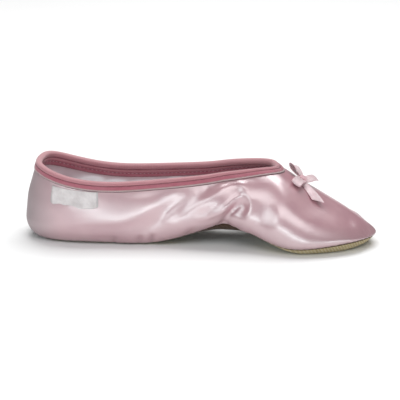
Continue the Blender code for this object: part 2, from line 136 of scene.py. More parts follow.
# One row for each crease of the satin: side is -1 on the wearer's right and 1 on the left. Depth is in
# millimetres, a ridge where it is positive. Ahead and behind are its widths to either side of its line,
# and points are millimetres (from the heel, over the floor), drawn from one end to the other.
CREASE_COLUMNS = "name side depth ahead behind points"
CREASES = table(
    CREASE_COLUMNS,
    ("heel_roll", -1, 1.3, 3.0, 10.0, (
        (16, 13), (30, 14.5), (46, 15.5), (58, 16), (66, 17.2), (73, 19.5), (80, 23.4), (88, 28), (98, 35),
    )),
    ("quarter_gully", -1, -1.25, 4.2, 5.5, (
        (68, 4), (77, 10), (85, 15.6), (90, 20.6), (95, 24.8), (101, 28.6), (109, 34),
    )),
    ("quarter_roll", -1, 0.25, 2.0, 2.0, ((90, 16.5), (94, 20.6), (99, 25), (104, 29), (111, 34))),
    ("waist_gully", -1, -0.25, 2.2, 2.8, ((96, 16), (100.5, 21.4), (105.8, 27), (112, 33))),
    ("arch_roll", -1, 1.9, 8.0, 3.6, (
        (98, 19), (108, 25), (116.9, 30.5), (122.1, 33.4), (127.2, 36.8), (132.6, 40.2), (141, 44),
    )),
    ("arch_lip", -1, 1.1, 1.4, 2.2, (
        (108, 18), (116, 19.8), (121.2, 22), (126.8, 24.8), (130.6, 28.4), (133.8, 31.8), (138, 33.9),
        (143, 34.6),
    )),
    ("arch_line", -1, -0.25, 0.9, 1.1, (
        (127, 28.2), (131.7, 32.6), (134.5, 34.9), (138.7, 36.8), (143, 37.6),
    )),
    ("arch_pinch", -1, -2.8, 2.8, 2.2, (
        (124, 9), (127.5, 17), (130.6, 22.8), (133.8, 26.8), (137.4, 29.6), (144, 31),
    )),
    ("front_pocket", -1, -0.7, 2.4, 2.4, ((133, 17), (136, 22), (140, 26), (144, 28.6), (150, 31))),
    ("front_roll", -1, 1.55, 5.2, 3.2, (
        (136, 8), (141, 18), (143.5, 24), (144, 30), (141.5, 36), (136, 43), (129, 50),
    )),
    ("ball_roll", -1, 1.0, 7.5, 5.0, ((153, 4), (158, 14), (162, 24), (163, 34), (160, 44))),
    ("heel_notch_1", -1, -1.2, 0.9, 1.1, ((58.6, 0), (59, 3), (60.5, 7))),
    ("heel_notch_2", -1, -1.4, 1.3, 1.3, ((74.6, 0), (75, 3.5), (76.5, 8))),
    ("heel_notch_3", -1, -1.6, 1.2, 1.3, ((82, 0), (82.6, 4), (84.5, 9))),
    ("waist_pucker", -1, -0.9, 1.2, 1.8, ((103, 4), (106, 9), (111, 14))),
    ("toe_roll", -1, 1.0, 1.3, 2.2, ((205, 16.8), (209.5, 13.8), (213.5, 9.5))),
    ("left_heel_roll", 1, 2.0, 5.0, 9.0, (
        (14, 13), (28, 12), (44, 12.5), (58, 14), (68, 18), (77, 22), (90, 29),
    )),
    ("left_quarter_gully", 1, -1.5, 2.4, 4.0, ((78, 11), (80, 15), (83, 20), (87, 25), (92, 30), (98, 35))),
    ("left_quarter_roll", 1, 1.4, 4.0, 2.0, ((83, 12), (86, 17), (90, 22), (96, 27), (104, 33))),
    ("left_arch_roll", 1, 2.0, 2.8, 5.0, ((96, 17), (104, 20), (112, 24), (119, 28), (126, 32), (135, 38))),
    ("left_arch_line", 1, -0.6, 0.8, 0.9, ((121, 30), (127, 34), (134, 37))),
    ("left_arch_pinch", 1, -2.9, 2.6, 2.0, ((125, 13), (127, 18), (129, 23), (132, 28), (137, 32))),
    ("left_front_roll", 1, 1.3, 3.2, 2.4, ((134, 13), (138, 19), (143, 25), (147, 32), (146, 38))),
    ("left_front_line", 1, -0.6, 1.2, 1.4, ((147, 18), (150, 24), (152, 31))),
    ("left_heel_notch", 1, -1.2, 1.0, 1.2, ((66, 0), (66.8, 3.5), (68.5, 7))),
    ("left_toe_roll", 1, 0.8, 1.4, 2.2, ((203, 16.5), (208, 13.5), (212, 9.5))),
)

# Loose folds of the cotton inside, in the same columns, with their depth going into the shoe
FOLDS = table(
    CREASE_COLUMNS,
    ("lining_heel_a", 1, 2.2, 1.4, 4.5, ((20, 14), (30, 21), (38, 26), (47, 32))),
    ("lining_heel_b", 1, 2.4, 1.4, 4.5, ((30, 9), (40, 17), (50, 23), (62, 31))),
    ("lining_waist_a", 1, 2.2, 1.4, 4.5, ((48, 10), (58, 18), (70, 24), (82, 30))),
    ("lining_waist_b", 1, 2.0, 1.4, 4.5, ((70, 10), (80, 18), (92, 25), (104, 31))),
    ("lining_arch", 1, 1.2, 2.0, 3.6, ((96, 14), (106, 21), (116, 27), (124, 32))),
    ("lining_right_a", -1, 1.2, 2.2, 3.4, ((30, 8), (40, 16), (50, 22), (60, 27))),
    ("lining_right_b", -1, 1.2, 2.2, 3.4, ((62, 8), (74, 16), (84, 22), (96, 27))),
)

# A crease's crest is rounded by this many millimetres, and its flanks fall away with this power
CREST_RADIUS = 0.4
CREASE_FLANK = 1.6

# Millimetres from the middle plane, the sole seam and the rim over which creases and folds come in
SATIN_SIDES = (2.0, 17.0)
LINING_SIDES = (2.0, 9.0)
CREASE_OVER_SEAM = (0.0, 2.5)
CREASE_UNDER_RIM = (4.6, 9.5)
FOLD_OVER_SEAM = (3.0, 8.0)
FOLD_UNDER_RIM = (7.5, 12.0)

# Smaller relief of the satin in millimetres: slack, toe pleats, puckers, the line under the tape
SLACK_HEIGHT = 0.30
PLEAT_DEPTH = 0.62
PLEAT_PITCH = 3.1
PLEAT_LENGTH = 11.0
PLEATED_REACH = 23.0
PUCKER_DEPTH = 0.16
PUCKER_PITCH = 4.3
PUCKER_LENGTH = 5.0
DRAWN_HEIGHT = 0.05
DRAWN_PITCH = 6.1

# The seam up the back of the heel in millimetres: a groove with a low welt to either side
GROOVE_DEPTH = 0.38
GROOVE_WIDTH = 0.55
WELT_HEIGHT = 0.14
WELT_FROM_MIDDLE = 1.6
WELT_WIDTH = 0.9
BACK_REACH = 40.0

# Colours of the cloths, in linear light
TINTS = {
    "satin_deep": (0.41, 0.19, 0.228),
    "satin_light": (0.475, 0.24, 0.275),
    # painted shade: the deeper, redder colour put in the troughs of the creases
    "satin_fold": (0.36, 0.13, 0.17),
    # painted highlight: the paler colour put on the crests of the creases
    "satin_rubbed": (0.68, 0.48, 0.51),
    "satin_greyed": (0.33, 0.225, 0.235),
    # painted shade: the dark colour of the end of the heel
    "satin_heel": (0.16, 0.095, 0.108),
    "satin_soiled": (0.23, 0.13, 0.14),
    "lining_deep": (0.89, 0.86, 0.9),
    "lining_light": (0.94, 0.92, 0.945),
    # painted shade: the rosy colour between the lining's folds
    "lining_hollow": (0.43, 0.27, 0.3),
    "tape_faded": (0.5, 0.25, 0.285),
    "suede_deep": (0.335, 0.255, 0.13),
    "suede_light": (0.465, 0.38, 0.215),
    "suede_rib": (0.56, 0.5, 0.35),
    "suede_waist": (0.06, 0.034, 0.022),
    "suede_seam": (0.06, 0.035, 0.025),
    "sock_deep": (0.74, 0.7, 0.71),
    "sock_light": (0.82, 0.79, 0.79),
    "ribbon_deep": (0.64, 0.445, 0.475),
    "ribbon_light": (0.74, 0.57, 0.595),
    "ribbon_edge": (0.62, 0.3, 0.35),
    "label_deep": (0.62, 0.56, 0.565),
    "label_light": (0.78, 0.72, 0.725),
    "label_hem": (0.4, 0.36, 0.37),
    "floor_deep": (0.86, 0.86, 0.86),
    "floor_light": (0.9, 0.9, 0.9),
}

# Colours of the tape by how much light and wear each fold of it gets
TAPE_TINTS = {
    # edge is a painted shadow line where the tape meets the satin, groove is painted shade, roll and crown
    # carry painted highlight as well as wear
    "edge": (0.16, 0.08, 0.09),
    "hem": (0.5, 0.385, 0.385),
    "stitched": (0.27, 0.07, 0.1),
    "band": (0.37, 0.1, 0.138),
    "groove": (0.19, 0.03, 0.05),
    "roll": (0.45, 0.185, 0.212),
    "crown": (0.5, 0.24, 0.262),
}

# The tape's section, from its outer lower edge over the collar to its inner one. Down is in millimetres
# along the wall from its raw edge, off is millimetres from the face of the wall on that side.
TAPE_FOLDS = table(
    "name side down off tint",
    ("outer_edge", 1, 5.55, 0.16, "edge"),
    ("outer_lip", 1, 5.20, 0.50, "edge"),
    ("outer_hem", 1, 4.95, 0.72, "hem"),
    ("outer_stitch", 1, 4.55, 0.60, "hem"),
    ("outer_band_low", 1, 4.05, 0.88, "band"),
    ("outer_band", 1, 3.05, 1.05, "band"),
    ("outer_band_high", 1, 2.20, 0.98, "band"),
    ("outer_groove", 1, 1.80, 0.60, "groove"),
    ("outer_roll_low", 1, 1.35, 1.05, "roll"),
    ("outer_roll", 1, 0.50, 1.35, "roll"),
    ("outer_roll_high", 1, -0.30, 1.15, "crown"),
    ("top_outer", 1, -1.00, 0.45, "crown"),
    ("top", 1, -1.25, -0.70, "crown"),
    ("top_inner", -1, -1.00, 0.45, "crown"),
    ("inner_roll_high", -1, -0.30, 1.15, "roll"),
    ("inner_roll", -1, 0.70, 1.30, "roll"),
    ("inner_roll_low", -1, 1.70, 1.00, "band"),
    ("inner_groove", -1, 2.40, 0.55, "groove"),
    ("inner_band_high", -1, 3.10, 1.00, "roll"),
    ("inner_band", -1, 4.20, 1.05, "band"),
    ("inner_stitch", -1, 5.30, 0.66, "stitched"),
    ("inner_hem_high", -1, 5.90, 0.98, "band"),
    ("inner_hem", -1, 7.00, 0.95, "band"),
    ("inner_lip", -1, 7.90, 0.70, "stitched"),
    ("inner_edge", -1, 8.10, 0.32, "stitched"),
)

# Rows of stitches round the collar, with down and off as above and all sizes in millimetres
STITCH_ROWS = table(
    "name thread tint side down off pitch length width",
    ("outer_tape_stitches", "beige_rose_thread", (0.600, 0.480, 0.470), 1, 4.75, 0.66, 2.1, 1.5, 0.34),
    ("inner_tape_stitches", "pale_rose_thread", (0.560, 0.330, 0.360), -1, 5.30, 0.72, 2.6, 1.5, 0.40),
)

# One row for each arm of the bow. Turn is its angle in degrees, from the toe towards the wearer's left.
# The rest are in ribbon widths: reach past the knot, opening of a loop, lift of its outer end off the
# satin, tilt, which is how much higher its left edge stands looking out from the knot, and the curl of
# its edges.
ARM_COLUMNS = "name turn reach opening lift tilt curl"
LOOPS = table(
    ARM_COLUMNS,
    ("bow_loop_right", -104, 1.80, 0.52, 0.00, 0.00, 0.10),
    ("bow_loop_left", 138, 1.65, 0.60, 0.28, 0.00, 0.08),
)
TAILS = table(
    ARM_COLUMNS,
    ("bow_tail_right", -48, 2.78, 0.00, 0.06, 0.30, 0.12),
    ("bow_tail_left", 58, 1.97, 0.00, 0.72, 0.16, 0.08),
)
ARM_START = max(KNOT_LENGTH, KNOT_WIDTH) / 2 - 0.0006
LOOP_ROOT = 0.6
RIBBON_PINCH = 0.62
PINCHED_SHARE = 0.4
TAIL_SLANT = 0.7
TAIL_ARCH = math.radians(108)
LOOP_PLEAT = 0.00022
TAIL_PLEAT = 0.00020
KNOT_PLEAT = 0.00016

# The photo's camera: a long lens a little to the toe side of square on
CAMERA_AZIMUTH = math.radians(6.7)
CAMERA_ELEVATION = math.radians(16.0)
CAMERA_DISTANCE = 1.2
CAMERA_TARGET = 0.024
FRAME_FILL = 0.88
SENSOR = 36.0

# Lights in degrees, metres and watts. The low ones are what the satin mirrors towards the camera.
PLAIN_WHITE = (1.00, 1.00, 1.00)
COOL_DAYLIGHT = (0.88, 1.00, 1.00)
SOFTBOXES = table(
    "name azimuth elevation distance width height power colour",
    ("front_window", 3, 4, 0.7, 0.62, 0.09, 0.90, COOL_DAYLIGHT),
    ("left_window", -34, 21, 0.9, 0.40, 0.34, 1.10, COOL_DAYLIGHT),
    ("right_window", 50, 3, 0.9, 0.50, 0.12, 0.60, COOL_DAYLIGHT),
    ("front_fill", 14, 46, 1.3, 1.30, 0.60, 5.20, PLAIN_WHITE),
    ("overhead", 180, 66, 1.3, 1.30, 1.10, 20.0, PLAIN_WHITE),
)
LIGHT_TARGET = 0.025
ROOM_STRENGTH = 0.20
FLOOR_REACH = 6.0


def ease(value, start, end):
    """0 before start, 1 after end, with a level tangent at both."""
    t = np.clip((value - start) / (end - start), 0.0, 1.0)
    return t * t * (3 - 2 * t)


def unit(vectors):
    return vectors / np.maximum(np.linalg.norm(vectors, axis=-1, keepdims=True), 1e-12)


def catmull(values, where):
    """Smooth curve through values, read at fractional places."""
    padded = np.concatenate([[2 * values[0] - values[1]], values, [2 * values[-1] - values[-2]]])
    i = np.clip(np.floor(where).astype(int), 0, len(values) - 2)
    t = where - i
    a, b, c, d = padded[i], padded[i + 1], padded[i + 2], padded[i + 3]
    squared, cubed = 2 * a - 5 * b + 4 * c - d, 3 * b - a - 3 * c + d
    return 0.5 * (2 * b + (c - a) * t + squared * t * t + cubed * t**3)


def underside(along):
    """Height of the sole's underside on its centre line, at a distance from the back of the heel."""
    share = along / LENGTH
    starts, full, falls, ends = ARCH_SHARES
    arch = ease(share, starts, full) * (1 - ease(share, falls, ends))
    return ARCH_RISE * arch + TOE_SPRING * ease(share, TOE_SPRING_SHARE, 1.0)


def section_controls(section):
    size = np.array([LENGTH, BALL_WIDTH / 2, INSTEP_HEIGHT])
    girth, shoulder, collar = (np.array(p) * size for p in (section.girth, section.shoulder, section.collar))
    along, out, lift = section.feather
    feather = np.array([along * LENGTH, out * BALL_WIDTH / 2, 0.0])
    feather[2] = underside(feather[0]) + lift * EDGE_LIFT
    upright = girth + [0, 0, section.rise * INSTEP_HEIGHT]
    return np.array([feather, girth, upright, shoulder, collar])


def closed_spline(points):
    """Second derivatives of the smooth closed line through the points, one unit of u apart."""
    count = len(points)
    shifted = np.roll(np.eye(count), 1, axis=0)
    system = 4 * np.eye(count) + shifted + shifted.T
    bends = 6 * (np.roll(points, -1, axis=0) - 2 * points + np.roll(points, 1, axis=0))
    return np.linalg.solve(system, bends.reshape(count, -1)).reshape(points.shape)


HALF = [section_controls(s) for s in SECTIONS]
CONTROLS = np.array(HALF + [c * [1.0, -1.0, 1.0] for c in HALF[-2:0:-1]])
BENDS = closed_spline(CONTROLS)
TURNS = len(CONTROLS)


def controls_at(u):
    i = np.floor(u).astype(int)
    t = (u - i)[:, None, None]
    s = 1 - t
    a, b = i % TURNS, (i + 1) % TURNS
    return s * CONTROLS[a] + t * CONTROLS[b] + (s**3 - s) / 6 * BENDS[a] + (t**3 - t) / 6 * BENDS[b]


def bezier(p, t):
    t = t[:, None]
    s = 1 - t
    return s**3 * p[0] + 3 * s * s * t * p[1] + 3 * s * t * t * p[2] + t**3 * p[3]


def skin(u, v):
    """Outside of the smooth last. v is 0 at the sole seam, 1 at the girth and 2 at the collar."""
    c = controls_at(u)
    feather, girth, upright, shoulder, collar = (c[:, i] for i in range(5))
    reach = (girth - feather) * UNDER_TURN_SHARE
    under = feather + reach * [1, 1, 0]
    beside = girth - reach * [0, 0, 1]
    low = bezier((feather, under, beside, girth), np.clip(v, 0, 1))
    high = bezier((girth, upright, shoulder, collar), np.clip(v - 1, 0, 1))
    return np.where((v < 1)[:, None], low, high)


def skin_normal(u, v, step=1e-3):
    """Unit normals of the last, facing out of the shoe."""
    v = np.clip(v, step, 2 - step)
    across = skin(u + step, v) - skin(u - step, v)
    upward = skin(u, v + step) - skin(u, v - step)
    return unit(np.cross(upward, across))


def run_lengths(net, axis):
    """Distances along a net's lines, from 0 at their start."""
    steps = np.linalg.norm(np.diff(net, axis=axis), axis=-1)
    start = np.zeros_like(steps.take([0], axis=axis))
    return np.concatenate([start, np.cumsum(steps, axis=axis)], axis=axis)


class TapeMeasure:
    """Distances over the last's surface, read from a net of points laid on it."""

    def __init__(self, turns_step=0.05, level_step=0.02):
        self.turns_step, self.level_step = turns_step, level_step
        self.us = np.arange(0, TURNS + turns_step / 2, turns_step)
        self.vs = np.arange(0, 2 + level_step / 2, level_step)
        u, v = np.meshgrid(self.us, self.vs, indexing="ij")
        net = skin(u.ravel(), v.ravel()).reshape(len(self.us), len(self.vs), 3)
        self.up = run_lengths(net, 1)
        self.seam = run_lengths(net[:, 0], 0)
        self.rim = run_lengths(net[:, -1], 0)

    def over_seam(self, u, v):
        i, j = u / self.turns_step, v / self.level_step
        a = np.clip(np.floor(i).astype(int), 0, len(self.us) - 2)
        b = np.clip(np.floor(j).astype(int), 0, len(self.vs) - 2)
        s, t = i - a, j - b
        low = (1 - s) * self.up[a, b] + s * self.up[a + 1, b]
        high = (1 - s) * self.up[a, b + 1] + s * self.up[a + 1, b + 1]
        return (1 - t) * low + t * high

    def under_rim(self, u, v):
        return self.over_seam(u, np.full_like(v, 2.0)) - self.over_seam(u, v)

    def level(self, u, distance):
        """The v at which the wall has come that far down from its raw edge."""
        low, high = np.zeros_like(u), np.full_like(u, 2.0)
        for _ in range(18):
            middle = (low + high) / 2
            deeper = self.under_rim(u, middle) > distance
            low, high = np.where(deeper, middle, low), np.where(deeper, high, middle)
        return (low + high) / 2

    def along_seam(self, u):
        return np.interp(u, self.us, self.seam)

    def along_rim(self, u):
        return np.interp(u, self.us, self.rim)

    def turn_at_rim(self, distance):
        return np.interp(distance, self.rim, self.us)


measure = TapeMeasure()


def smooth_line(points, pieces=10):
    """Rounded line through a crease's points."""
    last = len(points) - 2
    where = np.concatenate([i + np.linspace(0, 1, pieces, endpoint=i == last) for i in range(last + 1)])
    return np.stack([catmull(np.array(way, float), where) for way in zip(*points)], axis=1)


def crease_height(places, row):
    """Height of one crease at side-view places, all in millimetres."""
    line = smooth_line(row.points)
    best = np.full(len(places), 1e9)
    side = np.zeros(len(places))
    share = np.zeros(len(places))
    count = len(line) - 1
    for i in range(count):
        start, run = line[i], line[i + 1] - line[i]
        t = np.clip(((places - start) @ run) / (run @ run), 0, 1)
        away = places - start - t[:, None] * run
        distance = np.hypot(away[:, 0], away[:, 1])
        turn = run[0] * away[:, 1] - run[1] * away[:, 0]
        closer = distance < best
        best = np.where(closer, distance, best)
        side = np.where(closer, turn, side)
        share = np.where(closer, (i + t) / count, share)
    width = np.where(side < 0, row.ahead, row.behind)
    taper = np.sin(np.pi * np.clip(share, 0, 1))
    off_crest = np.hypot(best, CREST_RADIUS) - CREST_RADIUS
    return row.depth * taper * np.exp(-((off_crest / width) ** CREASE_FLANK))


def creases_of(rows, points, sides):
    """Height in millimetres of a table's creases, each on its own side of the shoe."""
    places = points[:, [0, 2]] / MM
    sideways = points[:, 1] / MM
    weights = {1: ease(sideways, *sides), -1: ease(-sideways, *sides)}
    return sum(weights[row.side] * crease_height(places, row) for row in rows)


def soft_noise(points, scale, seed):
    """Smooth noise between about -1 and 1 at points, with one length scale along each axis."""
    scaled = points / np.array(scale) + seed
    return np.array([noise.noise(Vector(p)) for p in scaled]) * 1.6


def seam_gathers(along_seam, over_seam):
    """Depth of the pleats round the toe and of the puckers along the rest of the sole seam."""
    toe = np.exp(-((along_seam / PLEATED_REACH) ** 4))
    pleats = toe * (1 - ease(over_seam, 1.5, PLEAT_LENGTH)) * ease(over_seam, -0.6, 0.9)
    drift = 0.35 * np.sin(along_seam / 4.7)
    pleat = 0.5 + 0.5 * np.cos(2 * np.pi * (along_seam / PLEAT_PITCH + drift))
    puckers = (1 - toe) * (1 - ease(over_seam, 0.5, PUCKER_LENGTH))
    sway = 1.7 * np.sin(along_seam / 11.0)
    pucker = 0.5 + 0.5 * np.sin(2 * np.pi * along_seam / PUCKER_PITCH + sway)
    return PLEAT_DEPTH * pleats * pleat**1.6 + PUCKER_DEPTH * puckers * pucker


def drawn_by_tape(along_rim, under_rim):
    """Height of the small waves that the tape's stitches draw into the satin."""
    band = ease(under_rim, 4.8, 5.8) * (1 - ease(under_rim, 6.5, 12.0))
    sway = 2.0 * np.sin(along_rim / 17.0)
    return DRAWN_HEIGHT * band * np.sin(2 * np.pi * along_rim / DRAWN_PITCH + sway)


def back_seam(points):
    """Height of the seam up the back of the heel."""
    aside = np.abs(points[:, 1]) / MM + BACK_REACH * (points[:, 0] / MM > BACK_REACH)
    groove = np.exp(-((aside / GROOVE_WIDTH) ** 2))
    welt = np.exp(-(((aside - WELT_FROM_MIDDLE) / WELT_WIDTH) ** 2))
    return WELT_HEIGHT * welt - GROOVE_DEPTH * groove


def relief(u, v, points):
    """How far the satin stands off the smooth last, in metres."""
    over_seam, under_rim = measure.over_seam(u, v) / MM, measure.under_rim(u, v) / MM
    along_seam = (measure.along_seam(u) - measure.along_seam(np.array([TURNS / 2]))) / MM
    along_rim = measure.along_rim(u) / MM
    height = creases_of(CREASES, points, SATIN_SIDES)
    height *= ease(under_rim, *CREASE_UNDER_RIM) * ease(over_seam, *CREASE_OVER_SEAM)
    slack = soft_noise(points, (0.020, 0.020, 0.012), 3.1) * ease(under_rim, 5, 12) * ease(over_seam, 1, 6)
    height += SLACK_HEIGHT * slack
    height -= seam_gathers(along_seam, over_seam)
    height += drawn_by_tape(along_rim, under_rim) + back_seam(points)
    from_ends = np.minimum(along_seam - along_seam.min(), along_seam.max() - along_seam)
    return height * MM * (0.25 + 0.75 * ease(from_ends, -1, 4))


def lining_relief(u, v, points):
    """The lining follows the satin inwards, and has its own loose folds into the shoe."""
    over_seam, under_rim = measure.over_seam(u, v) / MM, measure.under_rim(u, v) / MM
    tucked = (WALL - SATIN - 0.15 * MM) * (1 - ease(over_seam, 1.5, 9.0))
    follow = 1.15 * np.minimum(relief(u, v, points), 0.0) - 0.1 * MM + tucked
    loose = creases_of(FOLDS, points, LINING_SIDES)
    loose *= ease(over_seam, *FOLD_OVER_SEAM) * ease(under_rim, *FOLD_UNDER_RIM)
    loose += 0.25 * (1 + soft_noise(points, (0.012, 0.02, 0.009), 9.7)) * ease(under_rim, *FOLD_UNDER_RIM)
    return follow - loose * MM


def hem_sag(u, v, points):
    """How far the satin's border hangs down over the sole's edge at the arch."""
    along = points[:, 0] / MM
    arch = ease(along, 126, 134) * (1 - ease(along, 138, 147))
    return SAG * arch * (1 - ease(measure.over_seam(u, v) / MM, 0.0, 8.0))


def placed(points):
    return points - [MIDDLE, 0, 0]


def laid_grid(cells, place, welded=True, turned=False):
    """A grid of cells whose corners go where place puts their shares of the two ways."""
    mesh = bmesh.new()
    bmesh.ops.create_grid(mesh, x_segments=cells[0], y_segments=cells[1], size=0.5)
    chart = mesh.loops.layers.uv.new("UVMap")
    for face in mesh.faces:
        for loop in face.loops:
            loop[chart].uv = (loop.vert.co.x + 0.5, loop.vert.co.y + 0.5)
    shares = np.clip(np.array([v.co[:2] for v in mesh.verts]) + 0.5, 0, 1)
    for vert, point in zip(mesh.verts, place(shares[:, 0], shares[:, 1])):
        vert.co = point
    if turned:
        bmesh.ops.reverse_faces(mesh, faces=mesh.faces)
    if welded:
        bmesh.ops.remove_doubles(mesh, verts=mesh.verts, dist=1e-6)
    return mesh


def face_along(mesh, way):
    """Makes an open sheet's faces agree and look along the way."""
    bmesh.ops.recalc_face_normals(mesh, faces=mesh.faces)
    mesh.normal_update()
    total = sum((f.normal * f.calc_area() for f in mesh.faces), Vector())
    if total.dot(way) < 0:
        bmesh.ops.reverse_faces(mesh, faces=mesh.faces)


def face_outwards(mesh):
    """Turns a band's faces away from its own middle."""
    bmesh.ops.recalc_face_normals(mesh, faces=mesh.faces)
    mesh.normal_update()
    middle = sum((f.calc_center_median() for f in mesh.faces), Vector()) / len(mesh.faces)
    facing = sum((f.calc_center_median() - middle).dot(f.normal) for f in mesh.faces)
    if facing < 0:
        bmesh.ops.reverse_faces(mesh, faces=mesh.faces)


def linked(mesh, name, material):
    data = bpy.data.meshes.new(name)
    mesh.to_mesh(data)
    mesh.free()
    data.materials.append(material)
    piece = bpy.data.objects.new(name, data)
    bpy.context.scene.collection.objects.link(piece)
    return piece


def object_from(mesh, name, material, replaced=(), thickness=0.0, softened=0):
    """Finishes a bmesh as a smooth piece that rides with the slipper."""
    piece = linked(mesh, name, material)
    piece.data.shade_smooth()
    if thickness:
        wall = piece.modifiers.new("Wall", "SOLIDIFY")
        wall.thickness = thickness
        wall.offset = -1.0
        wall.use_even_offset = False
    if softened:
        soften = piece.modifiers.new("Soft", "SUBSURF")
        soften.levels = soften.render_levels = softened
    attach(piece, "root")
    if replaced:
        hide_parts(*replaced)
    return piece


class Value:
    """A shader socket that sums can be written with."""

    def __init__(self, finish, socket):
        self.finish, self.socket = finish, socket

    def math(self, operation, *values):
        return self.finish.node("ShaderNodeMath", {"operation": operation}, dict(enumerate(values)))

    def __add__(self, other):
        return self.math("ADD", self, other)

    def __sub__(self, other):
        return self.math("SUBTRACT", self, other)

    def __rsub__(self, other):
        return self.math("SUBTRACT", other, self)

    def __mul__(self, other):
        return self.math("MULTIPLY", self, other)

    __radd__ = __add__
    __rmul__ = __mul__

    def sine(self):
        return self.math("SINE", self)

    def between(self, low, high, out_low=0.0, out_high=1.0):
        return self.finish.node(
            "ShaderNodeMapRange",
            {"interpolation_type": "SMOOTHSTEP"},
            {"Value": self, "From Min": low, "From Max": high, "To Min": out_low, "To Max": out_high},
        )


class Finish:
    """A material on one Principled BSDF, whose nodes are made by one method."""

    def __init__(self, name, roughness, **constants):
        self.material = bpy.data.materials.new(name)
        self.material.use_nodes = True
        self.tree = self.material.node_tree
        self.shader = self.tree.nodes["Principled BSDF"]
        self.shader.inputs["Roughness"].default_value = roughness
        for label, value in constants.items():
            self.shader.inputs[label.replace("_", " ")].default_value = value

    def node(self, kind, settings=None, inputs=None, output=0):
        made = self.tree.nodes.new(kind)
        for key, value in (settings or {}).items():
            if key == "stops":
                self.set_stops(made.color_ramp, value)
            else:
                setattr(made, key, value)
        for key, value in (inputs or {}).items():
            self.feed(made.inputs[key], value)
        return Value(self, made.outputs[output])

    def set_stops(self, ramp, stops):
        while len(ramp.elements) < len(stops):
            ramp.elements.new(0.5)
        for element, (place, colour) in zip(ramp.elements, stops):
            element.position = place
            element.color = (*colour, 1.0)

    def feed(self, socket, value):
        if isinstance(value, str):
            value = TINTS[value]
        if isinstance(value, Value):
            self.tree.links.new(value.socket, socket)
        elif isinstance(value, tuple) and len(value) == 3 and len(socket.default_value) == 4:
            socket.default_value = (*value, 1.0)
        else:
            socket.default_value = value

    def mix(self, factor, a, b):
        return self.node("ShaderNodeMix", {"data_type": "RGBA"}, {0: factor, 6: a, 7: b}, output=2)

    def clouded(self, scale, deep, light):
        """Two shades of a cloth in soft clouds."""
        return self.mix(self.grain(self.place(), scale).between(0.3, 0.7), deep, light)

    def place(self):
        return self.node("ShaderNodeTexCoord", output=3)

    def part_of(self, vector, way):
        return self.node("ShaderNodeSeparateXYZ", inputs={0: vector}, output="XYZ".index(way))

    def chart(self):
        """The piece's own UV map, split into its two ways."""
        uv = self.node("ShaderNodeTexCoord", output=2)
        return self.part_of(uv, "X"), self.part_of(uv, "Y")

    def stretched(self, vector, scale):
        return self.node("ShaderNodeMapping", inputs={"Vector": vector, "Scale": scale})

    def grain(self, vector, scale, detail=3.0):
        inputs = {"Vector": vector, "Scale": scale, "Detail": detail, "Roughness": 0.55}
        return self.node("ShaderNodeTexNoise", inputs=inputs)

    def attribute(self, name):
        return self.node("ShaderNodeAttribute", {"attribute_name": name}, output=2)

    def colour(self, value):
        self.feed(self.shader.inputs["Base Color"], value)

    def roughness(self, value):
        self.feed(self.shader.inputs["Roughness"], value)

    def bump(self, height, distance, strength):
        inputs = {"Height": height, "Distance": distance, "Strength": strength}
        self.feed(self.shader.inputs["Normal"], self.node("ShaderNodeBump", inputs=inputs))


def satin_finish():
    """Pink satin: a pale mirror-like sheen over pink, fine lengthwise threads and faint clouding."""
    finish = Finish("creased_pink_satin", 0.28, IOR=2.25, Specular_IOR_Level=0.95)
    place = finish.place()
    cloud = finish.grain(place, 55.0).between(0.35, 0.68)
    relief_mm = finish.attribute("relief_mm")
    over_seam = finish.attribute("over_seam_mm")
    base = finish.mix(cloud, "satin_deep", "satin_light")
    # Painted shade: the colour goes deeper and redder down into the troughs of the creases
    hollow_shade = relief_mm.between(-2.4, 0.0, 1.0, 0.0)
    crease_shaded = finish.mix(hollow_shade * 0.5, base, "satin_fold")
    # Painted highlight: the colour goes paler up onto the crests of the creases
    crest_highlight_mask = relief_mm.between(0.8, 2.6)
    crest_highlighted = finish.mix(crest_highlight_mask * 0.2, crease_shaded, "satin_rubbed")
    # Darker and greyer towards the sole seam, in soft clouds
    greyed = over_seam.between(3.0, 17.0, 1.0, 0.0) * cloud.between(0.0, 1.0, 0.6, 1.0)
    greyed_low = finish.mix(greyed * 0.40, crest_highlighted, "satin_greyed")
    # Painted shade on the end of the heel, which turns away from the lamps; the same mask also makes it
    # rougher
    heel_end = finish.part_of(place, "X").between(-0.112, -0.080, 1.0, 0.0)
    heel_shaded = finish.mix(heel_end * 0.95, greyed_low, "satin_heel")
    border = over_seam.between(0.2, 3.0, 1.0, 0.0)
    soiled = border * finish.grain(place, 240.0).between(0.30, 0.75, 0.35, 1.0)
    finish.colour(finish.mix(soiled * 0.5, heel_shaded, "satin_soiled"))
    streaks = finish.grain(finish.stretched(place, (30.0, 30.0, 420.0)), 3.0, 4.0)
    finish.roughness(streaks.between(0.25, 0.75, 0.275, 0.305) + heel_end * 0.30)
    threads = finish.grain(finish.stretched(place, (300.0, 300.0, 3600.0)), 2.0, 2.0)
    finish.bump(threads, 0.00003, 0.12)
    return finish.material


def lining_finish():
    """White cotton on the crests of its folds, with painted rosy shade between them."""
    finish = Finish("white_cotton_lining", 0.85, Sheen_Weight=0.2, Specular_IOR_Level=0.3)
    place = finish.place()
    base = finish.clouded(40.0, "lining_deep", "lining_light")
    # Painted shade: rosy where the lining lies back between its folds
    hollow_shade = finish.attribute("relief_mm").between(-1.1, -0.2)
    finish.colour(finish.mix(hollow_shade * 0.75, base, "lining_hollow"))
    weave = finish.grain(finish.stretched(place, (2600.0, 2600.0, 700.0)), 1.0, 2.0)
    finish.bump(weave, 0.00012, 0.6)
    return finish.material


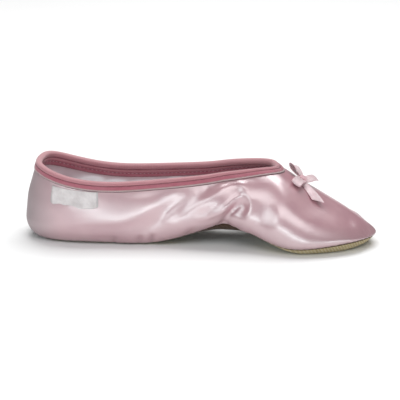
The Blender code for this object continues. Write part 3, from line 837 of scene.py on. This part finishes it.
def tape_finish():
    """Rose cotton tape: a pale roll with wear and painted highlight, a dark groove of painted shade, a
    ribbed band, a pale hem and a painted shadow along its lower edge.
    """
    finish = Finish("rose_cotton_tape", 0.70, Sheen_Weight=0.35, Specular_IOR_Level=0.35)
    along, across = finish.chart()
    last = len(TAPE_FOLDS) - 1
    stops = tuple((i / last, TAPE_TINTS[fold.tint]) for i, fold in enumerate(TAPE_FOLDS))
    base = finish.node("ShaderNodeValToRGB", {"stops": stops}, {"Fac": across})
    mottled = finish.grain(finish.place(), 130.0).between(0.3, 0.7)
    finish.colour(finish.mix(mottled * 0.18, base, "tape_faded"))
    ribs = (along * 2600.0).sine() * 0.5 + (across * 330.0).sine() * 0.5
    nap = finish.grain(finish.place(), 1500.0)
    finish.bump(ribs + nap, 0.00010, 0.7)
    return finish.material


def suede_finish():
    """Beige suede with a fine diagonal rib, with painted shade under the arch, and dark along the seam."""
    finish = Finish("ribbed_beige_suede", 0.92, Sheen_Weight=0.1, Specular_IOR_Level=0.2)
    place = finish.place()
    inward = finish.chart()[1]
    nap = finish.grain(place, 900.0, 4.0)
    blotch = finish.grain(place, 60.0, 4.0).between(0.32, 0.70)
    base = finish.mix(blotch, "suede_deep", "suede_light")
    inputs = {0: place, 1: (2400.0, 1700.0, 2900.0)}
    ribs = finish.node("ShaderNodeVectorMath", {"operation": "DOT_PRODUCT"}, inputs, output=1).sine()
    ribbed = finish.mix(ribs.between(-0.4, 0.9) * 0.5, base, "suede_rib")
    along = finish.part_of(place, "X")
    # Painted shade: the underside beneath the arch, which faces down, goes near black-brown
    waist = along.between(-0.022, 0.004) * along.between(0.030, 0.048, 1.0, 0.0)
    shaded = finish.mix(waist, ribbed, "suede_waist")
    seam = inward.between(0.0, 0.045, 1.0, 0.0)
    finish.colour(finish.mix(seam * 0.85, shaded, "suede_seam"))
    finish.bump(ribs * 0.6 + nap, 0.00016, 0.8)
    return finish.material


def sock_finish():
    """Off-white cotton with a lengthwise weave."""
    finish = Finish("quilted_cotton_sock", 0.90, Sheen_Weight=0.2, Specular_IOR_Level=0.25)
    place = finish.place()
    finish.colour(finish.clouded(50.0, "sock_deep", "sock_light"))
    weave = finish.grain(finish.stretched(place, (2200.0, 700.0, 700.0)), 1.0, 2.0)
    finish.bump(weave, 0.00015, 0.7)
    return finish.material


def ribbon_finish():
    """Pale satin ribbon with a firm woven edge down both sides."""
    finish = Finish("pale_satin_ribbon", 0.34, Specular_IOR_Level=0.8, Sheen_Weight=0.2)
    across = finish.chart()[1]
    base = finish.clouded(220.0, "ribbon_deep", "ribbon_light")
    middle = across - 0.5
    selvedge = (middle * middle).between(0.19, 0.235)
    finish.colour(finish.mix(selvedge * 0.6, base, "ribbon_edge"))
    threads = (across * 190.0).sine()
    finish.bump(threads + selvedge * 2.0, 0.00005, 0.6)
    return finish.material


def label_finish():
    """Bare white woven label with a faint rib and a firmer hem at each end."""
    finish = Finish("bare_white_label", 0.45, Specular_IOR_Level=0.6, Sheen_Weight=0.2)
    along, across = finish.chart()
    base = finish.clouded(170.0, "label_deep", "label_light")
    middle = along - 0.5
    hem = (middle * middle).between(0.205, 0.225)
    finish.colour(finish.mix(hem * 0.5, base, "label_hem"))
    ribs = (across * 210.0).sine() + (along * 500.0).sine() * 0.4
    finish.bump(ribs + hem, 0.00006, 0.7)
    return finish.material


def thread_finish(name, tint):
    """Twisted thread, darker in its turns."""
    finish = Finish(name, 0.6, Specular_IOR_Level=0.4)
    darker = tuple(part * 0.7 for part in tint)
    finish.colour(finish.mix(finish.grain(finish.place(), 900.0), tint, darker))
    finish.bump(finish.grain(finish.place(), 4000.0), 0.00004, 0.5)
    return finish.material


def floor_finish():
    finish = Finish("pale_floor", 0.9, Specular_IOR_Level=0.1)
    finish.colour(finish.mix(finish.grain(finish.place(), 3.0), "floor_deep", "floor_light"))
    return finish.material


def store_attribute(piece_data, name, values):
    layer = piece_data.attributes.new(name, "FLOAT", "POINT")
    layer.data.foreach_set("value", np.asarray(values, dtype=np.float32))


def wall_of_cloth(name, cells, material, thickness, off, bulge, replaced=(), turned=True):
    """A sheet all round the last, lifted off it by off and then by what bulge gives."""

    def on_last(across, up):
        return across * TURNS, np.clip(LEVEL_TOP * up**LEVEL_EASE, 0, 2)

    def place(across, up):
        u, v = on_last(across, up)
        points = skin(u, v)
        lifted = placed(points + (off + bulge(u, v, points))[:, None] * skin_normal(u, v))
        lifted[:, 2] -= hem_sag(u, v, points)
        return lifted

    mesh = laid_grid(cells, place, turned=turned)
    chart = mesh.loops.layers.uv.active
    mesh.verts.ensure_lookup_table()
    shares = np.array([v.link_loops[0][chart].uv[:] for v in mesh.verts])
    piece = object_from(mesh, name, material, replaced, thickness)
    u, v = on_last(shares[:, 0], shares[:, 1])
    store_attribute(piece.data, "relief_mm", bulge(u, v, skin(u, v)) / MM)
    store_attribute(piece.data, "over_seam_mm", measure.over_seam(u, v) / MM)
    return piece


def make_satin():
    """Its thickness goes inwards from the good side."""
    finish = satin_finish()
    return wall_of_cloth("satin_upper", SATIN_CELLS, finish, SATIN, 0.0, relief, ("upper",))


def make_lining():
    """Its good side faces into the shoe, so its thickness goes outwards from there."""
    finish = lining_finish()
    return wall_of_cloth(
        "cotton_lining", LINING_CELLS, finish, LINING, -WALL, lining_relief, turned=False
    )


def tape_place(across, around):
    """Places of the tape's skin: across is the share of a turn round the collar."""
    u = across * TURNS
    downs = np.array([f.down for f in TAPE_FOLDS]) * MM
    offs = np.array([f.off if f.side > 0 else -WALL / MM - f.off for f in TAPE_FOLDS]) * MM
    where = around * (len(TAPE_FOLDS) - 1)
    down, off = catmull(downs, where), catmull(offs, where)
    level = measure.level(u, np.maximum(down, 0.0))
    rim = np.full_like(u, 2.0)
    up = unit(skin(u, rim) - skin(u, rim - 0.01))
    ripples = np.sin(2 * np.pi * measure.along_rim(u) / (3.4 * MM))
    off = off + 0.10 * MM * ripples * ease(np.abs(down), 3.2 * MM, 5.0 * MM)
    return skin(u, level) + off[:, None] * skin_normal(u, level) + np.maximum(-down, 0.0)[:, None] * up


def make_tape():
    mesh = laid_grid(TAPE_CELLS, lambda s, t: placed(tape_place(s, t)), turned=True)
    return object_from(mesh, "collar_tape", tape_finish(), ("collar_binding",), TAPE_THICKNESS)


def make_stitches(row):
    """A row of stitches round the collar, at a depth under its edge."""
    mesh = bmesh.new()
    total = measure.rim[-1]
    count = int(total / (row.pitch * MM))
    turns = measure.turn_at_rim((np.arange(count) + 0.5) * total / count)
    level = measure.level(turns, np.full(count, row.down * MM))
    normals = skin_normal(turns, level)
    height = row.off * MM if row.side > 0 else -WALL - row.off * MM
    points = placed(skin(turns, level) + height * normals)
    runs = unit(skin(turns + 0.01, level) - skin(turns - 0.01, level))
    size = Matrix.Diagonal((row.length * MM, row.width * MM, row.width * MM, 1.0))
    for point, normal, run in zip(points, normals, runs):
        turned = Matrix((run, np.cross(normal, run), normal)).transposed().to_4x4()
        shape = Matrix.Translation(point) @ turned @ size
        bmesh.ops.create_uvsphere(mesh, u_segments=6, v_segments=5, radius=0.5, matrix=shape)
    return object_from(mesh, row.name, thread_finish(row.thread, row.tint))


def sole_place(height, border_inset):
    """Places on a sheet over the sole's underside: its curled border, then across to the middle."""

    def place(across, inward):
        u = across * TURNS
        border = np.clip(inward / BORDER_SHARE, 0, 1)
        start = border_inset(u)
        inset = start + (EDGE_ROLL - start) * border
        seam = controls_at(u)[:, 0]
        run = controls_at(u + 1e-3)[:, 0] - controls_at(u - 1e-3)[:, 0]
        aside = unit(np.stack([run[:, 1], -run[:, 0]], axis=1))
        lift = seam[:, 2] - underside(seam[:, 0])
        still_up = np.maximum(1 - inset / EDGE_ROLL, 0)
        slope = 2 * lift / EDGE_ROLL * still_up
        lean = 1 / np.sqrt(1 + slope**2)
        flat = seam[:, :2] + aside * inset[:, None]
        x, y = (flat + aside * (height * slope * lean)[:, None]).T
        middle = np.clip((inward - BORDER_SHARE) / (1 - BORDER_SHARE), 0, 1)
        z = underside(flat[:, 0]) + lift * still_up**2 + height * lean
        return placed(np.stack([x, y * (1 - middle), z], axis=1))

    return place


def sole_border(u):
    return np.full_like(u, GAP)


def sock_border(u):
    """The sock's border reaches out to the lining, further where the wall leans out more."""
    controls = controls_at(u)
    lean = np.linalg.norm((controls[:, 1] - controls[:, 0])[:, :2], axis=1)
    return np.clip(SOCK_INSET - lean / 2, -SOCK_OVERHANG, SOCK_INSET)


def flat_sheet(cells, height, border_inset, way):
    mesh = laid_grid(cells, sole_place(height, border_inset))
    bmesh.ops.dissolve_degenerate(mesh, dist=1e-6, edges=mesh.edges)
    face_along(mesh, way)
    return mesh


def make_sole():
    mesh = flat_sheet(SOLE_CELLS, 0.0, sole_border, Vector((0, 0, -1)))
    return object_from(mesh, "suede_sole", suede_finish(), ("sole",), SOLE_THICKNESS)


def make_sock():
    top = SOLE_THICKNESS + INSOLE_THICKNESS + 1.5 * GAP
    mesh = flat_sheet(SOCK_CELLS, top, sock_border, Vector((0, 0, 1)))
    return object_from(mesh, "padded_sock", sock_finish(), ("insole",), INSOLE_THICKNESS)


def turn_at_girth(distance):
    us = np.linspace(0, TURNS / 2, 49)
    return np.interp(distance, controls_at(us)[:, 1, 0], us)


def make_label():
    """Sewn down along its top and ends, a little loose along its lower edge."""
    back = TURNS - turn_at_girth(LABEL_FROM_HEEL)
    front = TURNS - turn_at_girth(LABEL_FROM_HEEL + LABEL_LENGTH)

    def place(along, up):
        u = back + (front - back) * along
        uneven = (0.60 * np.sin(along * 10.0 + 0.6) + 0.30 * np.sin(along * 23.0)) * (1 - up) * MM
        down = LABEL_UNDER_TAPE + LABEL_SLANT * (1 - along) + LABEL_HEIGHT * (1 - up) + uneven
        v = measure.level(u, down)
        points = skin(u, v)
        ends = ease(np.minimum(along, 1 - along), 0.0, 0.10)
        loose = (1 - up) ** 2 * ends * (0.75 + 0.42 * np.sin(along * 19.0) + 0.20 * np.sin(along * 43.0))
        crumple = 1 + 0.9 * np.sin(along * 26.0 + 5 * up) + 0.6 * np.sin(along * 9.0 - 7 * up)
        puff = 0.48 * np.sin(np.pi * up) * ends * np.abs(crumple)
        off = np.maximum(relief(u, v, points), -0.4 * MM) + LABEL_THICKNESS + GAP + (loose + puff) * MM
        return placed(points + off[:, None] * skin_normal(u, v))

    mesh = laid_grid(LABEL_CELLS, place, welded=False, turned=True)
    face_along(mesh, Vector((0, -1, 0)))
    finish = label_finish()
    return object_from(mesh, "bare_side_label", finish, ("side_label",), LABEL_THICKNESS)


class BowSeat:
    """The bow's place on the vamp, and a way to lay ribbon on the satin round it."""

    def __init__(self, satin):
        u = np.array([TURNS / 2])
        v = measure.level(u, np.array([KNOT_FROM_EDGE]))
        self.normal = Vector(skin_normal(u, v)[0])
        mesh = bmesh.new()
        mesh.from_mesh(satin.data)
        self.satin = BVHTree.FromBMesh(mesh)
        mesh.free()
        start = Vector(placed(skin(u, v))[0]) + self.normal * 0.01
        self.centre = self.satin.ray_cast(start, -self.normal)[0]
        self.left = Vector((0, 1, 0))
        self.ahead = self.left.cross(self.normal).normalized()

    def lay(self, ahead, left, off):
        start = self.centre + self.ahead * ahead + self.left * left + self.normal * KNOT_LENGTH * 4
        hit, normal, _, _ = self.satin.ray_cast(start, -self.normal)
        return hit + (normal * 0.3 + self.normal * 0.7).normalized() * off

    def arm(self, degrees, reach, across, off):
        """Places along and across an arm that leaves the knot at an angle."""
        turn = math.radians(degrees)
        ahead = reach * math.cos(turn) - across * math.sin(turn)
        left = reach * math.sin(turn) + across * math.cos(turn)
        return [self.lay(*place) for place in zip(ahead, left, off)]


def spread(share):
    """Width of an arm, as a share of the ribbon's, from its gathered root outwards."""
    opened = np.sin(np.minimum(1.0, share / PINCHED_SHARE) * np.pi / 2)
    return RIBBON_PINCH + (1 - RIBBON_PINCH) * opened


def make_loop(seat, row, material):
    """Ribbon that leaves the knot, turns over and comes back on top of itself, gathered at its root."""

    def place(around, across):
        a = 2 * np.pi * around
        share = (1 - np.cos(a)) / 2
        swell = np.sin(a) * (LOOP_ROOT + (1 - LOOP_ROOT) * share)
        side = across - 0.5
        pleat = LOOP_PLEAT * np.cos(side * 4 * np.pi) * (1 - ease(share, 0.05, 0.6))
        height = row.opening * (0.5 + 0.5 * swell) + row.lift * share + row.curl * (4 * side**2) * share
        off = 2 * GAP + (RIBBON_WIDTH * height + pleat)
        width = side * RIBBON_WIDTH * spread(share)
        reach = ARM_START + RIBBON_WIDTH * row.reach * share
        return seat.arm(row.turn, reach, width, off)

    mesh = laid_grid(LOOP_CELLS, place, turned=True)
    face_outwards(mesh)
    return object_from(mesh, "ribbon_" + row.name, material, (row.name,), RIBBON_THICKNESS)


def make_tail(seat, row, material):
    """Ribbon laid down the vamp and cut off at a slant, with a gentle curl in its width."""

    def place(share, across):
        side = across - 0.5
        width = side * RIBBON_WIDTH * spread(share)
        slant = share * side * RIBBON_WIDTH * TAIL_SLANT
        pleat = TAIL_PLEAT * np.cos(side * 4 * np.pi) * (1 - ease(share, 0.0, 0.4))
        rise = (row.lift + row.tilt * (0.5 + side)) * np.sin(share * TAIL_ARCH)
        curl = row.curl * np.sin(share * np.pi) * np.cos(side * 2 * np.pi)
        off = RIBBON_THICKNESS + 2 * GAP + RIBBON_WIDTH * (rise + curl) + pleat
        reach = ARM_START + RIBBON_WIDTH * row.reach * share + slant
        return seat.arm(row.turn, reach, width, off)

    mesh = laid_grid(TAIL_CELLS, place, welded=False, turned=True)
    face_along(mesh, seat.normal)
    return object_from(mesh, "ribbon_" + row.name, material, (row.name,), RIBBON_THICKNESS)


def make_knot(seat, material):
    """The ribbon's wrap round the middle of the bow: a soft pillow, pulled in by two pleats."""
    mesh = bmesh.new()
    bmesh.ops.create_cube(mesh, size=1.0, calc_uvs=True)
    bmesh.ops.scale(mesh, vec=(KNOT_LENGTH, KNOT_WIDTH, KNOT_HEIGHT), verts=mesh.verts)
    rounding = KNOT_HEIGHT * 0.30
    edges = mesh.edges[:]
    bmesh.ops.bevel(mesh, geom=edges, offset=rounding, segments=2, profile=0.5, affect="EDGES", material=-1)
    bmesh.ops.subdivide_edges(mesh, edges=mesh.edges[:], cuts=3, use_grid_fill=True)
    ways = {"use_axis_x": True, "use_axis_y": True, "use_axis_z": True}
    for _ in range(2):
        bmesh.ops.smooth_vert(mesh, verts=mesh.verts, factor=0.5, **ways)
    for vert in mesh.verts:
        pleat = KNOT_PLEAT * math.cos(vert.co.x / KNOT_LENGTH * 5 * math.pi)
        vert.co.z += math.copysign(pleat, vert.co.z)
        vert.co.y += math.copysign(pleat, vert.co.y)
    base = seat.centre + seat.normal * (KNOT_HEIGHT / 2 + GAP)
    turned = Matrix((seat.ahead, seat.left, seat.normal)).transposed().to_4x4()
    bmesh.ops.transform(mesh, matrix=Matrix.Translation(base) @ turned, verts=mesh.verts)
    bmesh.ops.recalc_face_normals(mesh, faces=mesh.faces)
    return object_from(mesh, "ribbon_knot", material, ("bow_knot",), softened=1)


def make_slipper():
    satin = make_satin()
    make_lining()
    make_tape()
    make_sole()
    make_sock()
    make_label()
    for row in STITCH_ROWS:
        make_stitches(row)
    seat = BowSeat(satin)
    ribbon = ribbon_finish()
    for row in LOOPS:
        make_loop(seat, row, ribbon)
    for row in TAILS:
        make_tail(seat, row, ribbon)
    make_knot(seat, ribbon)


def look_from(azimuth, elevation):
    return Vector((
        math.sin(azimuth) * math.cos(elevation),
        -math.cos(azimuth) * math.cos(elevation),
        math.sin(elevation),
    ))


def aimed(name, data, azimuth, elevation, distance, target):
    """An object that looks from its angles at a height over the slipper's middle."""
    thing = bpy.data.objects.new(name, data)
    bpy.context.scene.collection.objects.link(thing)
    away = look_from(azimuth, elevation)
    thing.location = Vector((0, 0, target)) + away * distance
    thing.rotation_mode = "QUATERNION"
    thing.rotation_quaternion = away.to_track_quat("Z", "Y")
    return thing


def make_camera():
    data = bpy.data.cameras.new("photo_camera")
    data.sensor_width = SENSOR
    data.lens = SENSOR * CAMERA_DISTANCE * FRAME_FILL / LENGTH
    angles = (CAMERA_AZIMUTH, CAMERA_ELEVATION)
    bpy.context.scene.camera = aimed("photo_camera", data, *angles, CAMERA_DISTANCE, CAMERA_TARGET)


def make_light(box):
    data = bpy.data.lights.new(box.name, "AREA")
    data.shape = "RECTANGLE"
    data.size, data.size_y = box.width, box.height
    data.energy, data.color = box.power, box.colour
    angles = (math.radians(box.azimuth), math.radians(box.elevation))
    light = aimed(box.name, data, *angles, box.distance, LIGHT_TARGET)
    light.visible_camera = False


def make_room():
    world = bpy.data.worlds.new("white_room")
    world.use_nodes = True
    air = world.node_tree.nodes["Background"]
    air.inputs["Color"].default_value = (1.0, 1.0, 1.0, 1.0)
    air.inputs["Strength"].default_value = ROOM_STRENGTH
    bpy.context.scene.world = world
    bpy.context.scene.view_settings.view_transform = "Standard"


def make_floor():
    mesh = bmesh.new()
    bmesh.ops.create_grid(mesh, x_segments=1, y_segments=1, size=FLOOR_REACH)
    floor = linked(mesh, "pale_floor", floor_finish())


make_camera()
make_slipper()
make_room()
make_floor()
for row in SOFTBOXES:
    make_light(row)
